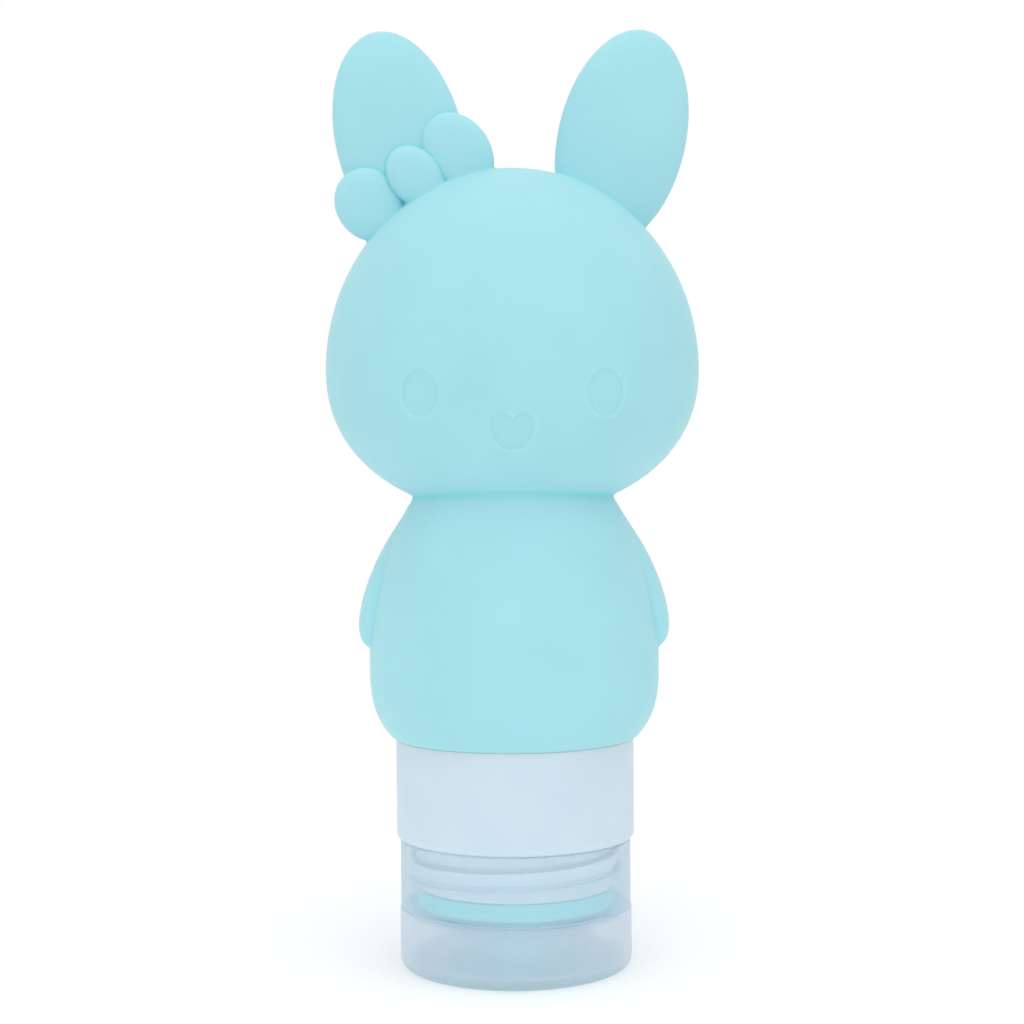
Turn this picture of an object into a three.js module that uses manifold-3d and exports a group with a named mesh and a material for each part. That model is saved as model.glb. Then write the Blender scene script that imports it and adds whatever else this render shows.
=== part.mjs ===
import * as THREE from "three";
import { mergeVertices } from "three/addons/utils/BufferGeometryUtils.js";
import Module from "manifold-3d";

const wasm = await Module();
wasm.setup();

// A soft squeeze bottle in the form of a rabbit, standing upside down on its flip-top cap.
// Millimetres, +Z up. The origin is the centre of the lid's flat outer face, the face looks along -Y,
// and the lid's hinge is at the back, +Y.

// Clearance between pieces that touch on the real bottle
const gap = 0.3;

// Flip lid
const lidDiameter = 38.3;
const lidHeight = 10;
const lidWall = 1.4;
const lidPlate = 1.4;
const lidEdgeRadius = 2;
const lidRingWall = 1;
const lidPlugRadius = 4.6;
const lidPlugWall = 1;

// Screw cap
const capDiameter = 38;
const capSkirt = 11;
const capWall = 1.5;
const deckDrop = 1.7;
const deckThickness = 1.5;
const platformRadius = 12;
const platformDrop = 2.2;
const platformThickness = 1.6;
const orificeRadius = 6.5;
const pocketWall = 1;
const pocketBead = 0.45;
const pocketBeadHeight = 0.6;
const deckChamfer = 1;
const deckChamferRise = 1.2;

// Screw thread between cap and collar
const threadPitch = 3.5;
const threadTurns = 1.5;
const threadHeight = 1;
const threadRootWidth = 1.8;
const threadCrestWidth = 1.1;
const threadLeadIn = 0.12;
const threadEnd = 0.05;
const threadTolerance = 0.1;
const threadMargin = 0.2;
const capThreadLag = 0.3;

// Hinge strap between cap and lid
const strapWidth = 12;
const strapThickness = 0.5;
const strapHeight = 3.1;
const strapStandOff = 0.35;
const lugHeight = 2;
const lugSink = 1.05;

// Dispensing valve and the ring that holds it
const valveFlange = 1.6;
const valveMembrane = 0.7;
const valveSkirtWall = 0.9;
const valveDish = 0.3;
const slitLength = 7.4;
const slitWidth = 0.3;
const retainerHeight = 1.5;
const retainerWidth = 2.7;

// Neck: silicone lip and tube, with the rigid support ring inside
const lipHeight = 3;
const neckWall = 1.8;
const supportWall = 1;
const supportHeight = 25;

// Collar round the neck
const collarDiameter = 39.2;
const collarHeight = 15.9;
const collarWall = 1.5;
const collarEdgeRadius = 0.8;
const collarWeb = 1.5;
const sleeveWall = 1.5;
const sleeveRecess = 0.5;
const collarRibs = 8;
const collarRibWidth = 1;

// Silicone body
const siliconeWall = 2.8;
const footOverhang = 0.2;
const footEdge = 0.8;
const bellyRise = 12.2;
const bellyHalfWidth = 23.85;
const bellyHalfDepth = 21.6;
const bellyFullness = 2.8;
const waistRise = 27.7;
const waistHalfWidth = 16.6;
const waistHalfDepth = 15.9;

// Head
const cheekRise = 20.6;
const cheekHalfWidth = 30.65;
const cheekHalfDepth = 23.8;
const cheekFullness = 2.1;
const crownRise = 33.7;

// Ears, their feet sunk into the crown
const earSpread = 18.24;
const earTilt = 13.3;
const earHalfLength = 18.3;
const earHalfWidth = 10.5;
const earHalfThickness = 3.8;
const earFullness = 2.6;
const earSetBack = 0.4;
const earSink = 6.7;

// Arms: three points of the centre line, each as far below the waist and as deep in the body's side
const armLine = [
  { drop: 2, sink: 3.2 },
  { drop: 14.4, sink: -1.6 },
  { drop: 24.9, sink: 0.35 },
];
const armHalfWidth = 5.6;
const armHalfThickness = 2.45;
const armFullness = 5.2;
const armTaper = 0.2;

// Bow on the left ear as seen from the front, its parts placed from the ear's centre
const bowLobes = [
  { aside: 9.24, drop: 2.3, halfLength: 6.3, halfWidth: 5.4, lean: 33, proud: 1.5 },
  { aside: -4.96, drop: 11.1, halfLength: 6.1, halfWidth: 5.4, lean: 33, proud: 1.5 },
];
const bowKnot = { aside: 2.64, drop: 6.8, halfLength: 5.5, halfWidth: 4.2, lean: 38, proud: 3 };
const bowFullness = 3.4;

// Face, moulded as shallow recesses below the cheeks' widest level
const faceDepth = 0.5;
const eyeSpread = 14.4;
const eyeDrop = 4.3;
const eyeHalfWidth = 2.75;
const eyeHalfHeight = 3.7;
const noseDrop = 10.2;
const noseHalfWidth = 3.3;
const noseHalfHeight = 2.7;

// Sides of round pieces and of the soft body
const roundSides = 40;
const bodySides = 48;
const cavitySides = 32;
const bodyRows = 10;
const headRows = 9;
const cavityRows = 6;

// Levels, from the lid's outer face up
const lidRadius = lidDiameter / 2;
const lidInner = lidRadius - lidWall;
const capBottom = lidHeight + gap;
const capTop = capBottom + capSkirt;
const deckBottom = capBottom - deckDrop;
const deckTop = deckBottom + deckThickness;
const platformFace = deckBottom - platformDrop;
const pocketFloor = platformFace + platformThickness;
const lipBottom = deckTop + gap;
const lipTop = lipBottom + lipHeight;
const sleeveBottom = lipTop + gap;
const collarBottom = capTop + gap;
const collarTop = collarBottom + collarHeight;
const footHeight = collarTop + gap;
const cavityFloor = footHeight + siliconeWall;
const bellyHeight = footHeight + bellyRise;
const waistHeight = bellyHeight + waistRise;
const cheekHeight = waistHeight + cheekRise;
const crownHeight = cheekHeight + crownRise;
const strapMiddle = capBottom - gap / 2;

// Radii, from the cap's wall inwards
const capRadius = capDiameter / 2;
const capInner = capRadius - capWall;
const deckRadius = lidInner - gap;
const sleeveOuter = capInner - threadHeight - gap;
const sleeveInner = sleeveOuter - sleeveWall;
const neckOuter = sleeveInner - gap;
const neckBore = neckOuter - neckWall;
const supportOuter = neckBore - gap;
const supportBore = supportOuter - supportWall;
const pocketOuter = supportBore - gap;
const pocketInner = pocketOuter - pocketWall;
const flangeRadius = pocketInner - gap;
const collarRadius = collarDiameter / 2;
const footHalfWidth = collarRadius + footOverhang;
const strapOuter = Math.max(lidRadius, capRadius) + strapStandOff + strapThickness;

const silicone = { color: 0xa6e3ea, roughness: 0.62, metalness: 0 };
const frosted = { color: 0xd3e2ec, roughness: 0.45, metalness: 0, transparent: true, opacity: 0.7 };
const clear = { color: 0xc6dae5, roughness: 0.25, metalness: 0, transparent: true, opacity: 0.5 };

const bottle = new THREE.Group();

function solidFrom(geometry) {
  // Closed solid from a geometry: shared corners merged and collapsed triangles left out
  geometry.deleteAttribute("normal");
  geometry.deleteAttribute("uv");
  const merged = mergeVertices(geometry, 1e-4);
  const triangles = [];
  const index = merged.index.array;
  for (let i = 0; i < index.length; i += 3) {
    const [a, b, c] = [index[i], index[i + 1], index[i + 2]];
    if (a !== b && b !== c && c !== a) {
      triangles.push(a, b, c);
    }
  }
  const mesh = new wasm.Mesh({
    numProp: 3,
    vertProperties: new Float32Array(merged.attributes.position.array),
    triVerts: new Uint32Array(triangles),
  });
  return new wasm.Manifold(mesh);
}

function addPiece(name, solid, look) {
  const result = solid.getMesh();
  const geometry = new THREE.BufferGeometry();
  geometry.setAttribute("position", new THREE.BufferAttribute(new Float32Array(result.vertProperties), 3));
  geometry.setIndex(new THREE.BufferAttribute(new Uint32Array(result.triVerts), 1));
  geometry.computeVertexNormals();
  const mesh = new THREE.Mesh(geometry, new THREE.MeshStandardMaterial(look));
  mesh.name = name;
  bottle.add(mesh);
}

function turned(corners) {
  // Round solid about Z from a closed outline of [radius, height] corners, listed anticlockwise
  const points = corners.map(([radius, height]) => new THREE.Vector2(radius, height));
  if (corners[0][0] > 0) {
    points.push(points[0].clone());
  }
  return solidFrom(new THREE.LatheGeometry(points, roundSides).rotateX(Math.PI / 2));
}

function block(width, depth, height, x, y, z) {
  return solidFrom(new THREE.BoxGeometry(width, depth, height).translate(x, y, z));
}

function edgeArc(centreRadius, centreHeight, radius, steps) {
  // Corners of a rounded outer edge, from its lowest point round to its outermost one
  return Array.from({ length: steps + 1 }, (_, step) => {
    const angle = (Math.PI / 2) * (step / steps);
    return [centreRadius + radius * Math.sin(angle), centreHeight - radius * Math.cos(angle)];
  });
}

function ovalRing(halfWidth, halfDepth, height, sides) {
  return Array.from({ length: sides }, (_, side) => {
    const angle = (2 * Math.PI * side) / sides;
    return new THREE.Vector3(halfWidth * Math.cos(angle), halfDepth * Math.sin(angle), height);
  });
}

function lofted(rings) {
  // Closed skin over a stack of rings with the same number of points, closed by a point at each end
  const centre = (ring) => (
    ring.reduce((sum, point) => sum.add(point), new THREE.Vector3()).divideScalar(ring.length)
  );
  const sides = rings[0].length;
  const corners = [centre(rings[0]), ...rings.flat(), centre(rings[rings.length - 1])];
  const last = corners.length - 1;
  const index = [];
  for (let side = 0; side < sides; side += 1) {
    const next = (side + 1) % sides;
    index.push(0, 1 + next, 1 + side);
    for (let row = 0; row < rings.length - 1; row += 1) {
      const [lower, upper] = [1 + row * sides, 1 + (row + 1) * sides];
      index.push(lower + side, lower + next, upper + next);
      index.push(lower + side, upper + next, upper + side);
    }
    const top = 1 + (rings.length - 1) * sides;
    index.push(top + side, top + next, last);
  }
  const geometry = new THREE.BufferGeometry().setFromPoints(corners);
  geometry.setIndex(index);
  return solidFrom(geometry);
}

function pebble(halfWidth, halfLength, halfThickness, fullness, sides) {
  // Flat rounded form: an oval outline in X and Z, thin along Y, fuller at the rim as fullness rises
  const layers = 5;
  const rings = [];
  for (let layer = -layers; layer <= layers; layer += 1) {
    const angle = (layer / layers) * (Math.PI / 2);
    const spread = Math.abs(Math.cos(angle)) ** (2 / fullness);
    const offset = Math.sign(angle) * Math.abs(Math.sin(angle)) ** (2 / fullness) * halfThickness;
    rings.push(ovalRing(halfWidth * spread, halfLength * spread, offset, sides));
  }
  return lofted(rings).rotate([90, 0, 0]);
}

function thread(rootRadius, crestRadius, startHeight, startAngle) {
  // Helical ridge, tapering to nothing over its lead-in at each end. The root is sunk into the wall.
  const steps = Math.round(threadTurns * roundSides);
  const sink = Math.sign(rootRadius - crestRadius) * gap;
  const rings = [];
  for (let step = 0; step <= steps; step += 1) {
    const share = step / steps;
    const grow = threadEnd + (1 - threadEnd) * Math.min(1, share / threadLeadIn, (1 - share) / threadLeadIn);
    const angle = startAngle + share * threadTurns * 2 * Math.PI;
    const height = startHeight + share * threadTurns * threadPitch;
    const crest = rootRadius + (crestRadius - rootRadius) * grow;
    const section = [
      [rootRadius + sink, -threadRootWidth / 2],
      [crest, -threadCrestWidth / 2],
      [crest, threadCrestWidth / 2],
      [rootRadius + sink, threadRootWidth / 2],
    ];
    const facing = sink < 0 ? section : section.reverse();
    rings.push(facing.map(([radius, lift]) => (
      new THREE.Vector3(radius * Math.cos(angle), radius * Math.sin(angle), height + lift * (0.5 + grow / 2))
    )));
  }
  return lofted(rings.map((ring) => [...ring].reverse()));
}

function drawnIn(widest, end, share, power) {
  // Half width along a superellipse arc, from its widest level at share 0 to the end level at share 1
  return (widest ** power * (1 - share ** power) + end ** power * share ** power) ** (1 / power);
}

function bodySpread(height) {
  // Half width and half depth of the body at a height, arms and neck left out
  if (height < bellyHeight) {
    const share = (bellyHeight - height) / (bellyHeight - footHeight);
    return [
      drawnIn(bellyHalfWidth, footHalfWidth, share, bellyFullness),
      drawnIn(bellyHalfDepth, footHalfWidth, share, bellyFullness),
    ];
  }
  const share = (height - bellyHeight) / (waistHeight - bellyHeight);
  return [
    drawnIn(bellyHalfWidth, waistHalfWidth, share, 2),
    drawnIn(bellyHalfDepth, waistHalfDepth, share, 2),
  ];
}

function headSpread(height) {
  // Half width and half depth of the head below the cheeks
  const share = (cheekHeight - height) / (cheekHeight - waistHeight);
  return [
    drawnIn(cheekHalfWidth, waistHalfWidth, share, cheekFullness),
    drawnIn(cheekHalfDepth, waistHalfDepth, share, cheekFullness),
  ];
}

function figure(inset, bottom, sides, lowerRows, upperRows) {
  // Body and head as one solid, drawn in by inset on every side
  const rings = [];
  const addRing = ([halfWidth, halfDepth], height, drawn) => {
    rings.push(ovalRing(halfWidth - drawn, halfDepth - drawn, height, sides));
  };
  const foot = bodySpread(bottom);
  for (const [drawn, rise] of edgeArc(0, footEdge, footEdge, 2).slice(0, 2)) {
    addRing(foot, bottom + rise, inset + footEdge - drawn);
  }
  const bodyBottom = bottom + footEdge;
  for (let row = 0; row < lowerRows; row += 1) {
    const height = bodyBottom + (waistHeight - bodyBottom) * (row / lowerRows);
    addRing(bodySpread(height), height, inset);
  }
  for (let row = 0; row < upperRows; row += 1) {
    const turn = (Math.PI / 2) * (1 - row / upperRows);
    const height = cheekHeight - (cheekHeight - waistHeight) * Math.sin(turn);
    addRing(headSpread(height), height, inset);
  }
  for (let row = 0; row <= upperRows; row += 1) {
    const turn = (Math.PI / 2) * (row / upperRows);
    const height = cheekHeight + (crownHeight - inset - cheekHeight) * Math.sin(turn);
    const open = Math.cos(turn);
    addRing([(cheekHalfWidth - inset) * open, (cheekHalfDepth - inset) * open], height, 0);
  }
  return lofted(rings);
}

function flipLid() {
  const ringInner = platformRadius + gap;
  const ringTop = deckBottom - gap;
  const plugTop = platformFace;
  const solid = turned([
    [0, 0],
    ...edgeArc(lidRadius - lidEdgeRadius, lidEdgeRadius, lidEdgeRadius, 6),
    [lidRadius, lidHeight],
    [lidInner, lidHeight],
    [lidInner, lidPlate + lidEdgeRadius / 2],
    [lidInner - lidEdgeRadius / 2, lidPlate],
    [ringInner + lidRingWall, lidPlate],
    [ringInner + lidRingWall, ringTop],
    [ringInner, ringTop],
    [ringInner, lidPlate],
    [lidPlugRadius, lidPlate],
    [lidPlugRadius, plugTop],
    [lidPlugRadius - lidPlugWall, plugTop],
    [lidPlugRadius - lidPlugWall, lidPlate],
    [0, lidPlate],
  ]);
  return solid.add(hingeLug(lidRadius, -1));
}

function hingeLug(wallRadius, side) {
  // Pad on the back of a wall, out to the strap's outer face, above the strap or below it
  const inside = wallRadius - lugSink;
  const depth = strapOuter - inside;
  const height = strapMiddle + side * (strapHeight / 2 + gap + lugHeight / 2);
  return block(strapWidth, depth, lugHeight, 0, inside + depth / 2, height);
}

function hingeStrap() {
  return block(strapWidth, strapThickness, strapHeight, 0, strapOuter - strapThickness / 2, strapMiddle);
}

function screwCap() {
  const pocketTop = pocketFloor + gap + valveFlange + gap + retainerHeight + gap;
  const solid = turned([
    [orificeRadius, platformFace],
    [platformRadius, platformFace],
    [platformRadius, deckBottom],
    [deckRadius, deckBottom],
    [deckRadius, capBottom],
    [capRadius, capBottom],
    [capRadius, capTop],
    [capInner, capTop],
    [capInner, deckTop + deckChamferRise],
    [capInner - deckChamfer, deckTop],
    [pocketOuter, deckTop],
    [pocketOuter, pocketTop + pocketBeadHeight],
    [pocketInner - pocketBead, pocketTop + pocketBeadHeight],
    [pocketInner - pocketBead, pocketTop],
    [pocketInner, pocketTop],
    [pocketInner, pocketFloor],
    [orificeRadius, pocketFloor],
  ]);
  const crest = capInner - threadHeight + threadTolerance;
  const start = threadStart() + (capThreadLag - 0.5) * threadPitch;
  const ridge = thread(capInner, crest, start, capThreadLag * 2 * Math.PI);
  return solid.add(ridge).add(hingeLug(capRadius, 1));
}

function threadStart() {
  return sleeveBottom + threadRootWidth / 2 + threadMargin;
}

function neckCollar() {
  const webTop = collarBottom + collarWeb;
  const wallInner = collarRadius - collarWall;
  const sleeveTop = collarTop - sleeveRecess;
  let solid = turned([
    [sleeveInner, sleeveBottom],
    [sleeveOuter, sleeveBottom],
    [sleeveOuter, collarBottom],
    ...edgeArc(collarRadius - collarEdgeRadius, collarBottom + collarEdgeRadius, collarEdgeRadius, 3),
    [collarRadius, collarTop],
    [wallInner, collarTop],
    [wallInner, webTop],
    [sleeveOuter, webTop],
    [sleeveOuter, sleeveTop],
    [sleeveInner, sleeveTop],
  ]);
  const ribDepth = wallInner - sleeveOuter + 2 * gap;
  const ribHeight = sleeveTop - webTop;
  for (let rib = 0; rib < collarRibs; rib += 1) {
    const angle = (360 * (rib + 0.5)) / collarRibs;
    const middle = (wallInner + sleeveOuter) / 2;
    const fin = block(ribDepth, collarRibWidth, ribHeight, middle, 0, webTop + ribHeight / 2 - gap);
    solid = solid.add(fin.rotate([0, 0, angle]));
  }
  return solid.add(thread(sleeveOuter, sleeveOuter + threadHeight, threadStart(), 0));
}

function neckSupport() {
  return turned([
    [supportBore, lipBottom],
    [supportOuter, lipBottom],
    [supportOuter, lipBottom + supportHeight],
    [supportBore, lipBottom + supportHeight],
  ]);
}

function dispensingValve() {
  const flangeBottom = pocketFloor + gap;
  const flangeTop = flangeBottom + valveFlange;
  const skirt = orificeRadius - gap;
  const membraneBottom = platformFace + gap;
  const membraneTop = membraneBottom + valveDish + valveMembrane;
  const solid = turned([
    [0, membraneBottom + valveDish],
    [skirt - valveSkirtWall, membraneBottom],
    [skirt, membraneBottom + valveDish],
    [skirt, flangeBottom],
    [flangeRadius, flangeBottom],
    [flangeRadius, flangeTop],
    [skirt + valveDish, flangeTop],
    [skirt - valveSkirtWall, flangeBottom],
    [skirt - valveSkirtWall, membraneTop],
    [0, membraneTop],
  ]);
  const slitHeight = 4 * (valveDish + valveMembrane);
  const across = block(slitLength, slitWidth, slitHeight, 0, 0, membraneTop);
  const along = block(slitWidth, slitLength, slitHeight, 0, 0, membraneTop);
  return solid.subtract(across.add(along));
}

function valveRetainer() {
  const bottom = pocketFloor + gap + valveFlange + gap;
  return turned([
    [flangeRadius - retainerWidth, bottom],
    [flangeRadius, bottom],
    [flangeRadius, bottom + retainerHeight],
    [flangeRadius - retainerWidth, bottom + retainerHeight],
  ]);
}

function earCentre() {
  // Height of the ear's centre: its foot is sunk into the crown below it
  const crown = cheekHeight + crownRise * Math.sqrt(1 - (earSpread / cheekHalfWidth) ** 2);
  return crown + earHalfLength * Math.cos(THREE.MathUtils.degToRad(earTilt)) - earSink;
}

function ear(side) {
  const plate = pebble(earHalfWidth, earHalfLength, earHalfThickness, earFullness, 28);
  return plate.rotate([0, side * earTilt, 0]).translate([side * earSpread, earSetBack, earCentre()]);
}

function bowPart(part) {
  // A rounded pad from the ear's middle out past its front face
  const halfThickness = (earHalfThickness + part.proud) / 2;
  const pad = pebble(part.halfWidth, part.halfLength, halfThickness, bowFullness, 20);
  const place = [part.aside - earSpread, earSetBack - halfThickness, earCentre() - part.drop];
  return pad.rotate([0, -part.lean, 0]).translate(place);
}

function arm(side) {
  // Paddle along a curve from the shoulder to the hand, thin across the body and wider fore and aft
  const line = new THREE.QuadraticBezierCurve3(...armLine.map(({ drop, sink }) => {
    const height = waistHeight - drop;
    return new THREE.Vector3(bodySpread(height)[0] - sink, 0, height);
  }));
  const steps = 10;
  const rings = [];
  for (let step = 0; step <= steps; step += 1) {
    const share = (1 - Math.cos((Math.PI * step) / steps)) / 2;
    const centre = line.getPoint(share);
    const heading = line.getTangent(share);
    const across = new THREE.Vector3(-heading.z, 0, heading.x);
    const fullness = Math.sqrt(Math.max(0, 1 - Math.abs(2 * share - 1) ** armFullness));
    const width = armHalfWidth * fullness * (1 - armTaper * (1 - share));
    rings.push(Array.from({ length: 14 }, (_, corner) => {
      const angle = (2 * Math.PI * corner) / 14;
      return centre.clone()
        .addScaledVector(across, armHalfThickness * fullness * Math.cos(angle))
        .add(new THREE.Vector3(0, width * Math.sin(angle), 0));
    }));
  }
  const solid = lofted(rings.map((ring) => [...ring].reverse()));
  return side > 0 ? solid : solid.mirror([1, 0, 0]);
}

function facePrism(outline, x, z) {
  // Outline drawn in X and Z, run from the face's front back to the middle of the head
  const run = { depth: cheekHalfDepth * 2, bevelEnabled: false, curveSegments: 10 };
  const geometry = new THREE.ExtrudeGeometry(outline, run).rotateX(Math.PI / 2);
  return solidFrom(geometry).translate([x, 0, z]);
}

function heartOutline() {
  const shape = new THREE.Shape();
  const [w, h] = [noseHalfWidth, noseHalfHeight];
  shape.moveTo(0, -h);
  shape.bezierCurveTo(w * 0.35, -h * 0.75, w, -h * 0.3, w, h * 0.35);
  shape.bezierCurveTo(w, h, w * 0.3, h * 1.15, 0, h * 0.6);
  shape.bezierCurveTo(-w * 0.3, h * 1.15, -w, h, -w, h * 0.35);
  shape.bezierCurveTo(-w, -h * 0.3, -w * 0.35, -h * 0.75, 0, -h);
  return shape;
}

function faceRecesses() {
  const eye = new THREE.Shape().absellipse(0, 0, eyeHalfWidth, eyeHalfHeight, 0, 2 * Math.PI);
  const marks = facePrism(eye, -eyeSpread, cheekHeight - eyeDrop)
    .add(facePrism(eye, eyeSpread, cheekHeight - eyeDrop))
    .add(facePrism(heartOutline(), 0, cheekHeight - noseDrop));
  return marks.subtract(figure(faceDepth, footHeight, bodySides, bodyRows, headRows));
}

function siliconeBottle() {
  const neckTop = footHeight + siliconeWall / 2;
  const neck = turned([
    [0, lipBottom],
    [sleeveOuter, lipBottom],
    [sleeveOuter, lipTop],
    [neckOuter, lipTop],
    [neckOuter, neckTop],
    [0, neckTop],
  ]);
  const bore = turned([
    [0, lipBottom - gap],
    [neckBore, lipBottom - gap],
    [neckBore, cavityFloor + footEdge],
    [0, cavityFloor + footEdge],
  ]);
  let solid = figure(0, footHeight, bodySides, bodyRows, headRows).add(neck);
  for (const side of [-1, 1]) {
    solid = solid.add(ear(side)).add(arm(side));
  }
  for (const part of [...bowLobes, bowKnot]) {
    solid = solid.add(bowPart(part));
  }
  const cavity = figure(siliconeWall, cavityFloor, cavitySides, cavityRows, cavityRows);
  return solid.subtract(faceRecesses()).subtract(cavity).subtract(bore);
}

addPiece("silicone_bottle", siliconeBottle(), silicone);
addPiece("neck_support_ring", neckSupport(), clear);
addPiece("neck_collar", neckCollar(), frosted);
addPiece("screw_cap", screwCap(), clear);
addPiece("dispensing_valve", dispensingValve(), silicone);
addPiece("valve_retainer", valveRetainer(), clear);
addPiece("hinge_strap", hingeStrap(), clear);
addPiece("flip_lid", flipLid(), clear);

export default bottle;
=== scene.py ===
import math

import bmesh
import bpy
import numpy as np
from mathutils import Matrix, Vector


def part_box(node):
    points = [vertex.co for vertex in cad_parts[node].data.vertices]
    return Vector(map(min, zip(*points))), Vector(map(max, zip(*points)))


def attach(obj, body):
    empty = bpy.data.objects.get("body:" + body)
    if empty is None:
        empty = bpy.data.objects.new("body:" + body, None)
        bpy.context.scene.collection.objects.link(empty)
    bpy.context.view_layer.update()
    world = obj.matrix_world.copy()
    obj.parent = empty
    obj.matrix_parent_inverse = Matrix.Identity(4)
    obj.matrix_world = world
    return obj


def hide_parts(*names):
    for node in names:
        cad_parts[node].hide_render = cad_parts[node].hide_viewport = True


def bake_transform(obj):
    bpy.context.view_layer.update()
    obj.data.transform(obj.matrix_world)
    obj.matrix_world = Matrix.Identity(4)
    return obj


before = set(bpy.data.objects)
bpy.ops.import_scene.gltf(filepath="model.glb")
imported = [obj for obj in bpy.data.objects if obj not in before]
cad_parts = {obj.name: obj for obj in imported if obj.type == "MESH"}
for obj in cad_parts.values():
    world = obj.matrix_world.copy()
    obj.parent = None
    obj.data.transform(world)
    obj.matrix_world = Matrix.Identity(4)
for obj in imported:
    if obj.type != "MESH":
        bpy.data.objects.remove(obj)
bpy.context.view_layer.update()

# A silicone squeeze bottle in the form of a rabbit, standing upside down on its flip-top cap.
# Sizes are millimetres until a mesh is made; the face looks along -Y and the lid's hinge is at +Y.
mm = 0.001
gap = 0.3  # clearance between pieces that touch
sharp, fine, soft = 0.1, 0.2, 0.3  # usual roundings of edges
closer = 0.1  # by which dressed edges on each side of a joint draw together


def cornersOf(node):
    low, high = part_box(node)
    return low / mm, high / mm


bottleLow, bottleHigh = cornersOf("silicone_bottle")
ringLow, ringHigh = cornersOf("neck_support_ring")
collarLow, collarHigh = cornersOf("neck_collar")
valveLow, valveHigh = cornersOf("dispensing_valve")
retainerLow, retainerHigh = cornersOf("valve_retainer")
strapLow, strapHigh = cornersOf("hinge_strap")

# Camera
viewpoint = {
    "distance": 330, "eyeHeight": 84.4,  # from the lens to the bottle's axis, and above the floor
    "imageSide": 1024, "focalLength": 2000, "horizonRow": 455, "axisColumn": 513.3,  # pixels
    "lean": 0.4,  # degrees that the bottle leans to the left in the picture
    "sensor": 36, "nearest": 0.02,
}


def newObject(name, data):
    thing = bpy.data.objects.new(name, data)
    bpy.context.scene.collection.objects.link(thing)
    return thing


def makeCamera(v):
    data = bpy.data.cameras.new("camera")
    data.sensor_width = v["sensor"]
    data.lens = v["focalLength"] * v["sensor"] / v["imageSide"]
    data.clip_start = v["nearest"]
    camera = newObject("camera", data)
    middle = v["imageSide"] / 2
    down = math.atan((middle - v["horizonRow"]) / v["focalLength"])
    aside = math.atan((v["axisColumn"] - middle) / v["focalLength"])
    turn = Matrix.Rotation(aside, 4, "Z") @ Matrix.Rotation(math.pi / 2 - down, 4, "X")
    turn = turn @ Matrix.Rotation(-math.radians(v["lean"]), 4, "Z")
    place = Matrix.Translation((0, -v["distance"] * mm, v["eyeHeight"] * mm))
    camera.matrix_world = place @ turn
    bpy.context.scene.camera = camera


makeCamera(viewpoint)
print("camera placed")


# Shared shader groups
def newSocket(tree, name, side, kind):
    return tree.interface.new_socket(name=name, in_out=side, socket_type="NodeSocket" + kind)


def endsOf(tree):
    return tree.nodes.new("NodeGroupInput").outputs, tree.nodes.new("NodeGroupOutput").inputs


def newGroup(name, inputs, outputs):
    group = bpy.data.node_groups.new(name, "ShaderNodeTree")
    for socketName, kind, value in inputs:
        socket = newSocket(group, socketName, "INPUT", kind)
        if value is not None:
            socket.default_value = value
    for socketName, kind in outputs:
        newSocket(group, socketName, "OUTPUT", kind)
    return group, *endsOf(group)


def feed(tree, sockets, inputs):
    # inputs maps a socket's name or number to a value or to another node's output
    for key, value in inputs.items():
        if isinstance(value, bpy.types.NodeSocket):
            tree.links.new(value, sockets[key])
        else:
            sockets[key].default_value = value


def addNode(tree, kind, inputs, **settings):
    # Returns the new node's outputs
    node = tree.nodes.new(kind)
    for key, value in settings.items():
        setattr(node, key, value)
    feed(tree, node.inputs, inputs)
    return node.outputs


def combinedAxes(tree, *values):
    return addNode(tree, "ShaderNodeCombineXYZ", dict(enumerate(values)))[0]


def mathNode(tree, operation, one, other=0.0, clamp=False):
    return addNode(tree, "ShaderNodeMath", {0: one, 1: other}, operation=operation, use_clamp=clamp)[0]


def times(tree, one, other):
    return mathNode(tree, "MULTIPLY", one, other)


def vectorNode(tree, operation, inputs):
    return addNode(tree, "ShaderNodeVectorMath", inputs, operation=operation)


def mixColour(tree, factor, one, other):
    return addNode(tree, "ShaderNodeMix", {0: factor, 6: one, 7: other}, data_type="RGBA")[2]


def ramp(tree, value, low, high, start=0.0, end=1.0):
    inputs = {0: value, 1: low, 2: high, 3: start, 4: end}
    return addNode(tree, "ShaderNodeMapRange", inputs, interpolation_type="SMOOTHSTEP")[0]


def groupNode(tree, group, inputs):
    return addNode(tree, "ShaderNodeGroup", inputs, node_tree=group)


def noise(tree, vector, scale, detail, roughness=0.5):
    inputs = {"Vector": vector, "Scale": scale, "Detail": detail, "Roughness": roughness}
    return addNode(tree, "ShaderNodeTexNoise", inputs)["Fac"]


noiseSpan = (0.3, 0.7)  # between which a noise texture's values lie


def mouldGrainGroup():
    # Fine pitted texture of a blasted mould, with slow patches where it is more or less pressed in
    group, given, made = newGroup(
        "mouldGrain",
        [("Vector", "Vector", None), ("Grain Size", "Float", 0.25), ("Patch Size", "Float", 12.0)],
        [("Height", "Float"), ("Patches", "Float")],
    )
    grainScale = mathNode(group, "DIVIDE", 1 / mm, given["Grain Size"])
    patchScale = mathNode(group, "DIVIDE", 1 / mm, given["Patch Size"])
    vector = given["Vector"]
    grain = noise(group, vector, grainScale, 3.0, 0.6)
    cells = {"Vector": vector, "Scale": grainScale, "Smoothness": 0.6}
    pits = addNode(group, "ShaderNodeTexVoronoi", cells, feature="SMOOTH_F1")["Distance"]
    patches = noise(group, vector, patchScale, 2.0)
    grainShare, leastPressed = 0.6, 0.7
    height = mathNode(group, "ADD", times(group, grain, grainShare), times(group, pits, 1 - grainShare))
    strength = ramp(group, patches, *noiseSpan, leastPressed, 1.0)
    feed(group, made, {"Height": times(group, height, strength), "Patches": patches})
    return group


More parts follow.
